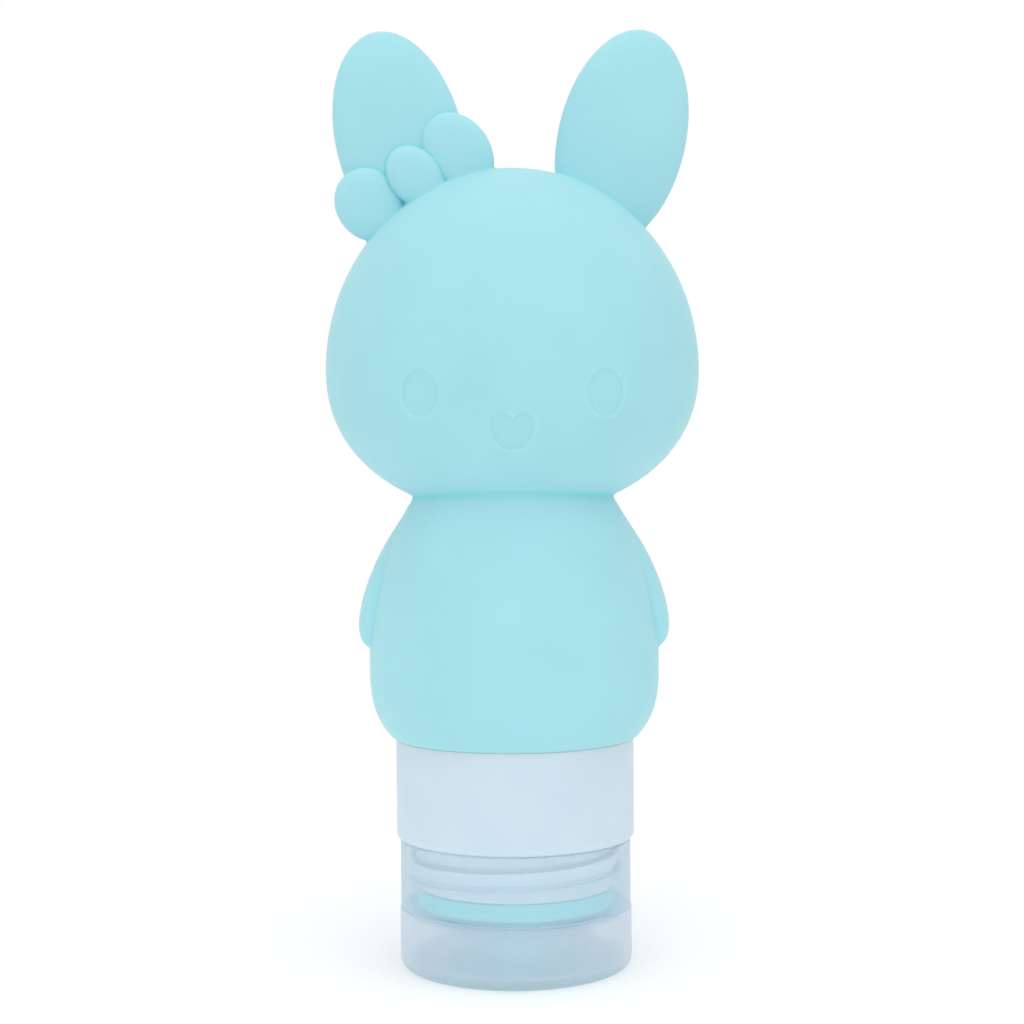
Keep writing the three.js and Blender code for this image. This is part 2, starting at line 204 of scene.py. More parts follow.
def paintedLightAndShadeGroup():
    # Painted highlight where an edge stands out and painted shade where two forms meet
    group, given, made = newGroup(
        "paintedLightAndShade",
        [("Color", "Color", None), ("Painted Highlight Color", "Color", None), ("Painted Shade Color", "Color", None),
         ("Relief", "Float", 0.0), ("Least", "Float", 0.03), ("Spread", "Float", 0.2)],
        [("Color", "Color"), ("Edge", "Float")],
    )
    full = mathNode(group, "ADD", given["Least"], given["Spread"])
    edge = ramp(group, given["Relief"], given["Least"], full)
    hollow = times(group, given["Relief"], -1.0)
    crease = ramp(group, hollow, given["Least"], full)
    lit = mixColour(group, edge, given["Color"], given["Painted Highlight Color"])
    withPaintedLight = mixColour(group, crease, lit, given["Painted Shade Color"])
    feed(group, made, {"Color": withPaintedLight, "Edge": edge})
    return group


def handlingGroup():
    # Faint scuffs and finger haze: streaks across the piece, broken up by a slow noise
    group, given, made = newGroup(
        "handling",
        [("Vector", "Vector", None), ("Streak Length", "Float", 9.0), ("Streak Width", "Float", 0.5)],
        [("Scuffs", "Float"), ("Haze", "Float")],
    )
    across = mathNode(group, "DIVIDE", 1 / mm, given["Streak Length"])
    along = mathNode(group, "DIVIDE", 1 / mm, given["Streak Width"])
    stretch = combinedAxes(group, across, across, along)
    vector = vectorNode(group, "MULTIPLY", {0: given["Vector"], 1: stretch})[0]
    streaks = noise(group, vector, 1.0, 4.0, 0.65)
    patchesPerMetre = 90.0
    slow = noise(group, given["Vector"], patchesPerMetre, 3.0)
    handled, scratched = (0.5, 0.68), (0.6, 0.72)  # noise values over which the marks come in
    scuffs = times(group, ramp(group, streaks, *scratched), ramp(group, slow, *handled))
    feed(group, made, {"Scuffs": scuffs, "Haze": slow})
    return group


mouldGrain = mouldGrainGroup()
paintedLightAndShade = paintedLightAndShadeGroup()
handling = handlingGroup()


def srgb(red, green, blue):
    # Colour as it is read off a screen, 0 to 255, to the renderer's linear values
    linear = [(c / 255 / 12.92) if c / 255 <= 0.04045 else ((c / 255 + 0.055) / 1.055) ** 2.4
              for c in (red, green, blue)]
    return (*linear, 1.0)


milkyView = (0.35, 0.95)  # Facing, from looked through straight to looked along
outerWall = (18 * mm, 18.4 * mm)  # radius from which a wall is an outer one


def milkiness(tree, normal, away, near, look):
    # Clear when looked through straight, milky when looked along or near the valve; clearer inside
    facing = addNode(tree, "ShaderNodeLayerWeight", {"Blend": 0.5})["Facing"]
    upright = addNode(tree, "ShaderNodeSeparateXYZ", {0: normal})["Z"]
    upright = mathNode(tree, "ABSOLUTE", upright)
    outside = mathNode(tree, "MAXIMUM", ramp(tree, away, *outerWall), upright)
    walls = ramp(tree, outside, 0.0, 1.0, look["innerShare"], 1.0)
    milk = times(tree, ramp(tree, facing, *milkyView, *look["milky"]), walls)
    milk = mathNode(tree, "MAXIMUM", milk, near)
    path = addNode(tree, "ShaderNodeLightPath", {})  # milky plastic blurs the view but lets light on
    lighting = mathNode(tree, "MAXIMUM", path["Is Shadow Ray"], path["Is Diffuse Ray"])
    kept = mathNode(tree, "SUBTRACT", 1.0, times(tree, lighting, look["lightPassed"]))
    return times(tree, milk, kept)


def newMaterial(name):
    # Returns its node tree and its shader's inputs too
    material = bpy.data.materials.new(name)
    material.use_nodes = True
    return material, material.node_tree, material.node_tree.nodes["Principled BSDF"].inputs


def mouldedMaterial(name, look):
    # One moulded finish: base tone with patches, painted highlights on edges, painted shade in creases,
    # scuffs and grain
    material, tree, inputs = newMaterial(name)
    coordinates = addNode(tree, "ShaderNodeTexCoord", {})
    vector = coordinates["Object"]
    paintedLightAmount = addNode(tree, "ShaderNodeAttribute", {}, attribute_name="paintedLightAmount")["Fac"]
    grain = groupNode(tree, mouldGrain, {
        "Vector": vector, "Grain Size": look["grainSize"], "Patch Size": look["patchSize"]})
    wear = groupNode(tree, handling, {"Vector": vector})
    patches = ramp(tree, grain["Patches"], *noiseSpan)
    tone = mixColour(tree, patches, look["colour"], look["patchColour"])
    # painted highlight on standing edges and painted shade in creases and hollows
    withPaintedLight = groupNode(tree, paintedLightAndShade, {
        "Color": tone, "Painted Highlight Color": look["highlightAndScuffColour"], "Painted Shade Color": look["paintedShadeColour"],
        "Relief": paintedLightAmount, "Spread": look["paintedLightSpread"],
    })
    scuffs = times(tree, wear["Scuffs"], look["scuffs"])
    colour = mixColour(tree, scuffs, withPaintedLight["Color"], look["highlightAndScuffColour"])
    rough = ramp(tree, wear["Haze"], *noiseSpan, look["roughness"] - look["roughnessSpread"],
                 look["roughness"] + look["roughnessSpread"])
    bump = addNode(tree, "ShaderNodeBump", {
        "Strength": look["grainStrength"], "Distance": look["grainDepth"] * mm,
        "Height": grain["Height"]})
    feed(tree, inputs, {**look["fixed"], "Roughness": rough, "Normal": bump["Normal"]})
    if "milky" in look:
        flat = vectorNode(tree, "MULTIPLY", {0: vector, 1: (1, 1, 0)})[0]
        away = vectorNode(tree, "LENGTH", {0: flat})["Value"]  # from the bottle's axis
        # painted reflection of the teal valve on the plastic round it, strongest near the axis
        inner, outer = look["valveReflectionRadius"]
        near = ramp(tree, away, inner * mm, outer * mm, look["valveReflectionShare"], 0.0)
        colour = mixColour(tree, near, colour, look["valveReflection"])
        feed(tree, inputs, {"Alpha": milkiness(tree, coordinates["Normal"], away, near, look)})
    feed(tree, inputs, {"Base Color": colour})
    return material


# edge colours are painted highlight and also the colour of scuffs; crease colours are painted shade
siliconeLook = {
    "colour": srgb(166, 223, 232), "patchColour": srgb(169, 226, 235),
    "highlightAndScuffColour": srgb(184, 236, 244), "paintedShadeColour": srgb(112, 222, 229), "paintedLightSpread": 0.3,
    "grainSize": 0.22, "patchSize": 14, "grainStrength": 0.25, "grainDepth": 0.03,
    "roughness": 0.56, "roughnessSpread": 0.05, "scuffs": 0.12,
    "fixed": {"IOR": 1.41, "Specular IOR Level": 0.4, "Subsurface Weight": 0.35,
              "Subsurface Radius": (0.6, 1.0, 1.1), "Subsurface Scale": 0.0016,
              "Sheen Weight": 0.12, "Sheen Roughness": 0.4},
}
valveLook = {
    **siliconeLook,
    "colour": srgb(150, 214, 224), "patchColour": srgb(154, 218, 228), "roughness": 0.42,
    "grainStrength": 0.12,
    "fixed": {"IOR": 1.41, "Specular IOR Level": 0.5, "Subsurface Weight": 0.3,
              "Subsurface Radius": (0.6, 1.0, 1.1), "Subsurface Scale": 0.001},
}
collarLook = {
    "colour": srgb(204, 223, 235), "patchColour": srgb(207, 226, 237),
    "highlightAndScuffColour": srgb(242, 249, 253), "paintedShadeColour": srgb(190, 214, 228), "paintedLightSpread": 0.2,
    "grainSize": 0.12, "patchSize": 9, "grainStrength": 0.16, "grainDepth": 0.02,
    "roughness": 0.46, "roughnessSpread": 0.05, "scuffs": 0.08,
    "fixed": {"IOR": 1.49, "Specular IOR Level": 0.45, "Subsurface Weight": 0.4,
              "Subsurface Radius": (1.0, 1.1, 1.2), "Subsurface Scale": 0.0012},
}
supportLook = {
    **collarLook,
    "grainStrength": 0.06, "roughness": 0.38, "milky": (0.5, 0.8), "innerShare": 1,
    "valveReflection": srgb(150, 214, 224), "valveReflectionRadius": (9, 13), "valveReflectionShare": 0.5, "lightPassed": 0.8,
    "fixed": {"IOR": 1.49, "Specular IOR Level": 0.5},
}
capLook = {
    **collarLook,
    "colour": srgb(188, 213, 229), "patchColour": srgb(191, 216, 231),
    "highlightAndScuffColour": srgb(226, 240, 249), "grainSize": 0.3, "patchSize": 8, "grainStrength": 0.08,
    "roughness": 0.34, "roughnessSpread": 0.04,
    "milky": (0.36, 0.78), "innerShare": 0.3,
    "valveReflection": srgb(138, 214, 224), "valveReflectionRadius": (10, 12.6), "valveReflectionShare": 0.75, "lightPassed": 0.82,
    "fixed": {"IOR": 1.49, "Specular IOR Level": 0.6},
}
lidLook = {
    **capLook,
    "colour": srgb(206, 221, 237), "patchColour": srgb(209, 224, 239), "roughness": 0.33,
    "milky": (0.42, 0.78), "valveReflection": srgb(112, 216, 221), "valveReflectionRadius": (8.5, 14.5), "valveReflectionShare": 0.78,
    "paintedShadeColour": srgb(172, 201, 214),
}
siliconeFinish = mouldedMaterial("softSilicone", siliconeLook)
valveFinish = mouldedMaterial("valveSilicone", valveLook)
collarFinish = mouldedMaterial("frostedCollar", collarLook)
capFinish = mouldedMaterial("hazyCap", capLook)
lidFinish = mouldedMaterial("hazyLid", lidLook)
supportFinish = mouldedMaterial("naturalPlastic", supportLook)
print("finishes made")


# Mesh helpers
def addObject(name, mesh, material):
    mesh.name = name
    mesh.materials.clear()
    mesh.materials.append(material)
    return newObject(name, mesh)


def plainMesh(points, faces):
    # Points in millimetres; the mesh is in metres
    mesh = bpy.data.meshes.new("piece")
    mesh.from_pydata((np.asarray(points, float) * mm).tolist(), [], [list(map(int, f)) for f in faces])
    mesh.validate()
    return mesh


def opened(mesh):
    working = bmesh.new()
    working.from_mesh(mesh)
    return working


def closed(working, mesh=None):
    mesh = mesh or bpy.data.meshes.new("piece")
    working.to_mesh(mesh)
    working.free()
    return mesh


def facedOutwards(mesh):
    working = opened(mesh)
    bmesh.ops.recalc_face_normals(working, faces=working.faces)
    return closed(working, mesh)


def pointsOf(mesh):
    return np.array([vertex.co for vertex in mesh.vertices]) / mm


def setPaintedLight(mesh, paintedLightAmount):
    mesh.attributes.new("paintedLightAmount", "FLOAT", "POINT").data.foreach_set("value", paintedLightAmount)


def evaluatedMesh(thing):
    graph = bpy.context.evaluated_depsgraph_get()
    return bpy.data.meshes.new_from_object(thing.evaluated_get(graph))


def useUp(*things):
    for thing in things:
        used = thing.data
        bpy.data.objects.remove(thing)
        bpy.data.meshes.remove(used)


def combined(mesh, extra, operation):
    # Boolean of two closed meshes; both are used up
    one = addObject("one", mesh, capFinish)
    other = addObject("other", extra, capFinish)
    cut = one.modifiers.new("cut", "BOOLEAN")
    cut.operation = operation
    cut.solver = "MANIFOLD"
    cut.object = other
    result = evaluatedMesh(one)
    useUp(one, other)
    return result


def finished(name, mesh, material, crease=40):
    mesh.shade_smooth()
    mesh.set_sharp_from_angle(angle=math.radians(crease))
    return addObject(name, mesh, material)


def stackedRings(rings, closedLoop=False):
    # Quads between rings of equal count; a ring of one point closes an end
    points, starts = [], []
    for ring in rings:
        starts.append(len(points))
        points.extend(ring)
    faces = []
    pairs = list(zip(range(len(rings) - 1), range(1, len(rings))))
    if closedLoop:
        pairs.append((len(rings) - 1, 0))
    for lower, upper in pairs:
        count = max(len(rings[lower]), len(rings[upper]))
        for side in range(count):
            following = (side + 1) % count
            pattern = ((lower, side), (lower, following), (upper, following), (upper, side))
            corners = [starts[ring] + place % len(rings[ring]) for ring, place in pattern]
            faces.append(list(dict.fromkeys(corners)))
    return facedOutwards(plainMesh(points, faces))


def ovalRing(halfWidth, halfDepth, height, sides):
    angles = np.arange(sides) * 2 * math.pi / sides
    return [(halfWidth * math.cos(a), halfDepth * math.sin(a), height) for a in angles]


def softened(corners, finest=15):
    # Outline with each corner's own rounding: corners are (radius, height, rounding)
    points = []
    for index, (radius, height, rounding) in enumerate(corners):
        here = Vector((radius, height))
        if rounding == 0 or radius == 0:
            points.append(here)
            continue
        back = (Vector(corners[index - 1][:2]) - here).normalized()
        ahead = (Vector(corners[(index + 1) % len(corners)][:2]) - here).normalized()
        half = back.angle(ahead) / 2
        centre = here + (back + ahead).normalized() * rounding / math.sin(half)
        start = here + back * rounding / math.tan(half) - centre
        turn = start.angle_signed(here + ahead * rounding / math.tan(half) - centre)
        steps = max(2, math.ceil(abs(turn) / math.radians(finest)))
        for step in range(steps + 1):
            angle = -turn * step / steps
            points.append(centre + Matrix.Rotation(angle, 2) @ start)
    return points


def turned(corners, sides):
    rings = []
    for radius, height in softened(corners):
        rings.append(ovalRing(radius, radius, height, sides) if radius > 1e-6 else [(0, 0, height)])
    return stackedRings(rings, closedLoop=corners[0][0] > 0)


def boxMesh(low, high, rounding):
    working = bmesh.new()
    size = [b - a for a, b in zip(low, high)]
    middle = [(a + b) / 2 for a, b in zip(low, high)]
    shape = Matrix.Translation(middle) @ Matrix.Diagonal((*size, 1))
    bmesh.ops.create_cube(working, size=1, matrix=shape)
    bmesh.ops.bevel(working, geom=working.edges[:], offset=rounding, segments=3, affect="EDGES",
                    profile=0.5)
    bmesh.ops.scale(working, vec=(mm, mm, mm), verts=working.verts)
    return closed(working)


# Geometry Nodes trees for what repeats or follows a path
def newTree(name, sizes, counts):
    tree = bpy.data.node_groups.new(name, "GeometryNodeTree")
    kinds = {**dict.fromkeys(sizes, "Float"), **dict.fromkeys(counts, "Int"), "Finish": "Material"}
    sockets = {key: newSocket(tree, key, "INPUT", kind).identifier for key, kind in kinds.items()}
    newSocket(tree, "Geometry", "OUTPUT", "Geometry")
    return tree, sockets, *endsOf(tree)


def grownMesh(tree, sockets, values):
    # Runs a tree on an empty mesh and returns the plain mesh it makes
    carrier = newObject("carrier", bpy.data.meshes.new("carrier"))
    grown = carrier.modifiers.new("grown", "NODES")
    grown.node_group = tree
    for key, value in values.items():
        grown[sockets[key]] = value
    mesh = evaluatedMesh(carrier)
    useUp(carrier)
    return mesh


def placeRound(tree, radius, angle, height):
    # A place round the Z axis; radius and height are millimetres
    reach = times(tree, radius, mm)
    return combinedAxes(tree, times(tree, reach, mathNode(tree, "COSINE", angle)),
                        times(tree, reach, mathNode(tree, "SINE", angle)), times(tree, height, mm))


def endTree(tree, made, geometry, finish):
    real = addNode(tree, "GeometryNodeRealizeInstances", {"Geometry": geometry})[0]
    last = addNode(tree, "GeometryNodeSetMaterial", {"Geometry": real, "Material": finish})[0]
    feed(tree, made, {0: last})


def threadTree():
    # Ridge of a screw thread: a trapezium along a helix, tapering into the wall at both ends
    tree, sockets, given, made = newTree("threadRidge", (
        "Wall Radius", "Height", "Start Height", "Start Angle", "Pitch", "Turns", "Root Width",
        "Crest Width", "Lead In", "End Size"), ("Points",))
    line = addNode(tree, "GeometryNodeCurvePrimitiveLine", {})[0]
    points = addNode(tree, "GeometryNodeResampleCurve", {"Curve": line, "Count": given["Points"]})
    share = addNode(tree, "GeometryNodeSplineParameter", {})["Factor"]
    turns = times(tree, share, given["Turns"])
    angle = mathNode(tree, "ADD", times(tree, turns, 2 * math.pi), given["Start Angle"])
    rise = mathNode(tree, "ADD", times(tree, turns, given["Pitch"]), given["Start Height"])
    helix = addNode(tree, "GeometryNodeSetPosition", {
        "Geometry": points[0], "Position": placeRound(tree, given["Wall Radius"], angle, rise)})
    upright = addNode(tree, "GeometryNodeSetCurveNormal", {"Curve": helix[0]}, mode="Z_UP")
    fromEnd = mathNode(tree, "MINIMUM", share, mathNode(tree, "SUBTRACT", 1.0, share))
    grow = mathNode(tree, "DIVIDE", fromEnd, given["Lead In"], clamp=True)
    taper = mathNode(tree, "MAXIMUM", grow, given["End Size"])
    scaled = addNode(tree, "GeometryNodeSetCurveRadius", {"Curve": upright[0], "Radius": taper})
    section = addNode(tree, "GeometryNodeCurvePrimitiveQuadrilateral", {
        "Bottom Width": times(tree, given["Root Width"], mm),
        "Top Width": times(tree, given["Crest Width"], mm),
        "Height": times(tree, given["Height"], 2 * mm), "Offset": 0.0,
    }, mode="TRAPEZOID")
    ridge = addNode(tree, "GeometryNodeCurveToMesh", {
        "Curve": scaled[0], "Profile Curve": section[0], "Fill Caps": True})
    endTree(tree, made, ridge[0], given["Finish"])
    return tree, sockets


def ribTree():
    # Fins standing round a ring, evenly spaced
    tree, sockets, given, made = newTree("ribRing", (
        "Middle Radius", "Middle Height", "Depth", "Thickness", "Tall"), ("Ribs",))
    number = addNode(tree, "GeometryNodeInputIndex", {})[0]
    half = mathNode(tree, "ADD", number, 0.5)
    angle = mathNode(tree, "DIVIDE", times(tree, half, 2 * math.pi), given["Ribs"])
    place = placeRound(tree, given["Middle Radius"], angle, given["Middle Height"])
    points = addNode(tree, "GeometryNodePoints", {"Count": given["Ribs"], "Position": place})
    sides = "Depth", "Thickness", "Tall"
    size = combinedAxes(tree, *[times(tree, given[side], mm) for side in sides])
    fin = addNode(tree, "GeometryNodeMeshCube", {"Size": size})
    copies = addNode(tree, "GeometryNodeInstanceOnPoints", {
        "Points": points[0], "Instance": fin[0], "Rotation": combinedAxes(tree, 0.0, 0.0, angle)})
    endTree(tree, made, copies[0], given["Finish"])
    return tree, sockets


threadRidge, threadSockets = threadTree()
ribRing, ribSockets = ribTree()
print("node trees made")

# Silicone bottle
figure = {
    "foot": collarHigh.z + gap,  # level of the flat foot
    "footHalf": collarHigh.x + 0.2, "footEdge": 0.3,
    "belly": 12.2, "bellyHalfWidth": 23.85, "bellyHalfDepth": 21.6, "bellyFullness": 2.8,
    "waist": 27.7, "waistHalfWidth": 16.3, "waistHalfDepth": 15.9, "waistRise": 0.6, "waistReach": 4,
    "waistShade": 0.065, "shadeReach": 1.9,
    "cheek": 20.6, "cheekHalfWidth": 30.65, "cheekHalfDepth": 23.8, "cheekFullness": 2.15,
    "crown": 33.1, "bodyTop": 4,  # bodyTop: above the waist, inside the head
    "chinSlope": 2.4, "chinEnd": 0.9, "pastFoot": 1.15,  # how far head and body go on below waist and foot
    "waistCrease": 0.8, "armCrease": 0.6, "earCrease": 0.6, "bowCrease": 0.35, "neckCrease": 0.3,
    "wall": 2.8, "roomEdge": 0.8, "lipRadius": 16.2, "lipHeight": 3, "lipEdge": 0.4,
    "neckRadius": 14.4, "neckEdge": 0.1, "boreRadius": 12.6, "neckShade": -0.15,
    "headStart": 5,  # below the waist; the next two are above the cheeks and the foot
    "earStart": 8, "footReach": 6, "reliefReach": 0.6,
}
net = {"step": 0.69, "reach": 1.5, "slabs": 16, "nudge": 0.02, "longestMove": 0.4, "leastSlope": 0.5,
       "leastRate": 0.01, "markReach": 0.8, "bend": 16}  # bend: degrees from which faces are made finer
room = {"sides": 72, "edgeRows": 4, "bodyRows": 18, "headRows": 14, "crownRows": 18, "past": 1}
ears = {"spread": 18.24, "tilt": 13.3, "halfLength": 18.05, "halfWidth": 10.5, "halfThickness": 3.8,
        "fullness": 2.6, "setBack": 0.4, "sink": 6.22}
arms = {"line": ((2, 3.2), (14.4, -1.6), (24.9, 0.35)),  # below the waist, sunk into the side
        "halfWidth": 5.6, "halfThickness": 2.45, "fullness": 5.2, "taper": 0.2, "past": 0.3}
bow = {"fullness": 3.4,
       # aside and below from the ear's centre, half length, half width, lean, proud of the ear
       "pads": ((9.6, 2.6, 7, 5.4, 33, 1.5), (-4.96, 10.85, 6.1, 5.4, 33, 1.5)),
       "knot": (2.64, 6.55, 5.5, 4.2, 38, 3)}
face = {"depth": 0.32, "edge": 0.34, "shade": 0.5, "shadeHeight": 14, "finerHeight": 20,
        "eyeSpread": 14.4, "eyeDrop": 4.3, "eyeHalfWidth": 2.75, "eyeHalfHeight": 3.7,
        "noseDrop": 10.2, "noseHalfWidth": 3.35, "noseHalfHeight": 2.75}
heart = {"low": -0.9, "span": 1.4, "lobe": 0.78, "lobePower": 0.7, "notch": 0.2, "chin": 0.16,
         "stretch": 1.05, "shift": 0.12}  # the nose's outline, in shares of its half size
bellyLevel = figure["foot"] + figure["belly"]
waistLevel = bellyLevel + figure["waist"]
cheekLevel = waistLevel + figure["cheek"]
lipLevel = bottleLow.z
earFoot = cheekLevel + figure["crown"] * math.sqrt(1 - (ears["spread"] / figure["cheekHalfWidth"]) ** 2)
earLevel = earFoot + ears["halfLength"] * math.cos(math.radians(ears["tilt"])) - ears["sink"]


def drawnIn(widest, end, share, power):
    # Half width along a superellipse arc, from its widest level at share 0 to the end level at share 1
    inner = widest ** power * (1 - share ** power) + end ** power * share ** power
    return np.maximum(inner, 1) ** (1 / power)


def bodySpread(z):
    f = figure
    below = np.clip((bellyLevel - z) / f["belly"], 0, f["pastFoot"])
    above = np.clip((z - bellyLevel) / f["waist"], 0, 1)
    low = z < bellyLevel
    return [
        np.where(low, drawnIn(widest, f["footHalf"], below, f["bellyFullness"]),
                 drawnIn(widest, waist, above, 2))
        for widest, waist in ((f["bellyHalfWidth"], f["waistHalfWidth"]),
                              (f["bellyHalfDepth"], f["waistHalfDepth"]))
    ]


def headSpread(z):
    # Half width and depth up to the cheeks, and how far above them, as a share of the crown
    f = figure
    drop = (cheekLevel - z) / f["cheek"]
    share = np.clip(drop, 0, 1)
    close = 1 - np.clip(f["chinSlope"] * (drop - 1), 0, f["chinEnd"])  # a cone below the waist
    rise = np.maximum(z - cheekLevel, 0) / f["crown"]
    return (drawnIn(f["cheekHalfWidth"], f["waistHalfWidth"], share, f["cheekFullness"]) * close,
            drawnIn(f["cheekHalfDepth"], f["waistHalfDepth"], share, f["cheekFullness"]) * close, rise)


def bowedLevel(y, z):
    # The crease between head and body climbs a little towards front and back
    rise = figure["waistRise"] * (y / figure["waistHalfDepth"]) ** 2
    return z - rise * np.exp(-((z - waistLevel) / figure["waistReach"]) ** 2)


def bodyShape(x, y, z):
    halfWidth, halfDepth = bodySpread(bowedLevel(y, z))
    return np.sqrt((x / halfWidth) ** 2 + (y / halfDepth) ** 2) - 1


def headShape(x, y, z):
    halfWidth, halfDepth, rise = headSpread(bowedLevel(y, z))
    return np.sqrt((x / halfWidth) ** 2 + (y / halfDepth) ** 2 + rise ** 2) - 1


def padShape(place, half, lean, fullness):
    # Flat rounded pad: half is its half width, length and thickness; its length leans towards -X
    tilt = math.radians(lean)

    def shape(x, y, z):
        aside, up = x - place[0], z - place[2]
        across = aside * math.cos(tilt) + up * math.sin(tilt)
        along = up * math.cos(tilt) - aside * math.sin(tilt)
        rim = (across / half[0]) ** 2 + (along / half[1]) ** 2
        level = rim ** (fullness / 2) + np.abs((y - place[1]) / half[2]) ** fullness
        return level ** (1 / fullness) - 1
    return shape


def armPoints():
    line = []
    for drop, sink in arms["line"]:
        level = waistLevel - drop
        line.append((float(bodySpread(np.array([level]))[0][0]) - sink, level))
    return line


def armShape(x, y, z):
    x = np.abs(x)
    (x0, z0), (x1, z1), (x2, z2) = armPoints()
    least, most = -arms["past"], 1 + arms["past"]
    share = np.clip((z0 - z) / (z0 - z2), least, most) + 0 * x

    def onLine(t):
        return ((1 - t) ** 2 * x0 + 2 * t * (1 - t) * x1 + t ** 2 * x2,
                (1 - t) ** 2 * z0 + 2 * t * (1 - t) * z1 + t ** 2 * z2)
    for _ in range(3):  # nearest point of the centre line
        cx, cz = onLine(share)
        dx = 2 * (1 - share) * (x1 - x0) + 2 * share * (x2 - x1)
        dz = 2 * (1 - share) * (z1 - z0) + 2 * share * (z2 - z1)
        share = np.clip(share + ((x - cx) * dx + (z - cz) * dz) / (dx ** 2 + dz ** 2), least, most)
    cx, cz = onLine(share)
    off = np.hypot(x - cx, z - cz) / arms["halfThickness"]
    width = arms["halfWidth"] * (1 - arms["taper"] * (1 - share))
    return np.sqrt(off ** 2 + (y / width) ** 2 + np.abs(2 * share - 1) ** arms["fullness"]) - 1


def slopes(shape, level, x, y, z):
    nudge = net["nudge"]
    moved = shape(x + nudge, y, z), shape(x, y + nudge, z), shape(x, y, z + nudge)
    return [(there - level) / nudge for there in moved]


def nearDistance(shape, x, y, z):
    # A shape's level turned into millimetres from its surface
    level = shape(x, y, z)
    across, deep, up = slopes(shape, level, x, y, z)
    return level / np.maximum(np.sqrt(across ** 2 + deep ** 2 + up ** 2), net["leastRate"])


def melded(one, other, radius):
    # Union of two distances, with a fillet where they meet
    overlap = np.maximum(radius - np.abs(one - other), 0) / radius
    return np.minimum(one, other) - overlap ** 2 * radius / 4


def trimmed(one, other, radius):
    return -melded(-one, -other, radius)


def eyeRim(x, z):
    return np.hypot((np.abs(x) - face["eyeSpread"]) / face["eyeHalfWidth"],
                    (z - cheekLevel + face["eyeDrop"]) / face["eyeHalfHeight"]) - 1


def noseRim(x, z):
    h = heart
    across = np.abs(x) / face["noseHalfWidth"]
    up = (z - cheekLevel + face["noseDrop"]) / face["noseHalfHeight"]
    top = np.clip((up - h["low"]) / h["span"], 0, 1)  # notched above, round below
    lift = (h["lobe"] * across ** h["lobePower"] - h["notch"]) * top
    lift += h["chin"] * across ** 2 * (1 - top)
    return np.hypot(across, h["stretch"] * up + h["shift"] - lift) - 1


def faceDepth(x, y, z):
    # How deep the eyes and nose are pressed in at a place, for the front of the head
    f = face
    eye = eyeRim(x, z) * (f["eyeHalfWidth"] + f["eyeHalfHeight"]) / 2
    nose = noseRim(x, z) * (f["noseHalfWidth"] + f["noseHalfHeight"]) / 2
    inward = np.clip(0.5 - np.minimum(eye, nose) / f["edge"] / 2, 0, 1)
    return np.where(y < 0, inward * inward * (3 - 2 * inward) * f["depth"], 0)


tilted = padShape((ears["spread"], ears["setBack"], earLevel),
                  (ears["halfWidth"], ears["halfLength"], ears["halfThickness"]), -ears["tilt"],
                  ears["fullness"])


def earShape(x, y, z):
    return tilted(np.abs(x), y, z)


def bowPad(pad):
    aside, drop, halfLength, halfWidth, lean, proud = pad
    halfThickness = (ears["halfThickness"] + proud) / 2
    place = (aside - ears["spread"], ears["setBack"] - halfThickness, earLevel - drop)
    return padShape(place, (halfWidth, halfLength, halfThickness), lean, bow["fullness"])


bowPads = [bowPad(pad) for pad in (*bow["pads"], bow["knot"])]
farOff = 9  # stands for any distance that is well outside


def skinDistance(x, y, z):
    # Millimetres outside the bottle's outer skin
    f = figure
    low, high = float(np.min(z)), float(np.max(z))
    headFoot = waistLevel - f["headStart"]
    skin = np.maximum(nearDistance(bodyShape, x, y, z), z - waistLevel - f["bodyTop"])
    if low < waistLevel + f["bodyTop"]:
        skin = melded(skin, nearDistance(armShape, x, y, z), f["armCrease"])
    if high > headFoot - net["reach"]:
        head = nearDistance(headShape, x, y, z) + faceDepth(x, y, z)
        skin = melded(skin, np.where(z > headFoot, head, farOff), f["waistCrease"])
    if high > cheekLevel + f["earStart"]:
        raised = nearDistance(earShape, x, y, z)
        for pad in bowPads:
            raised = melded(raised, nearDistance(pad, x, y, z), f["bowCrease"])
        skin = melded(skin, raised, f["earCrease"])
    if low < f["foot"] + f["footReach"]:
        skin = trimmed(skin, f["foot"] - z, 2 * f["footEdge"])
        radius = np.hypot(x, y)
        lip = trimmed(radius - f["lipRadius"], z - lipLevel - f["lipHeight"], f["lipEdge"])
        neck = trimmed(radius - f["neckRadius"], z - f["foot"] - f["wall"], f["neckEdge"])
        neck = trimmed(melded(neck, lip, f["neckCrease"]), lipLevel - z, f["lipEdge"])
        skin = melded(skin, neck, f["neckCrease"])
    return skin


def surfaceNet(field, low, step):
    # One point for each cell that the surface crosses and one quad for each grid edge it crosses
    inside = field < 0
    strides = np.array([field.shape[1] * field.shape[2], field.shape[2], 1])
    rings, crossings = [], []
    for axis in range(3):
        near, far = [slice(None)] * 3, [slice(None)] * 3
        near[axis], far[axis] = slice(0, -1), slice(1, None)
        crossed = inside[tuple(near)] != inside[tuple(far)]
        place = np.argwhere(crossed)
        start, end = field[tuple(near)][crossed], field[tuple(far)][crossed]
        point = place.astype(float)
        point[:, axis] += start / (start - end)
        b, c = strides[(axis + 1) % 3], strides[(axis + 2) % 3]
        number = place @ strides
        ring = np.stack([number - b - c, number - c, number, number - b], 1)
        ring[start > 0] = ring[start > 0][:, ::-1]
        rings.append(ring)
        crossings.append(np.repeat(point[:, None], 4, 1))
    rings, crossings = np.concatenate(rings), np.concatenate(crossings)
    corner = np.unique(rings.ravel(), return_inverse=True)[1].ravel()
    total = np.stack([np.bincount(corner, crossings[..., k].ravel()) for k in range(3)], 1)
    return low + total / np.bincount(corner)[:, None] * step, corner.reshape(-1, 4)


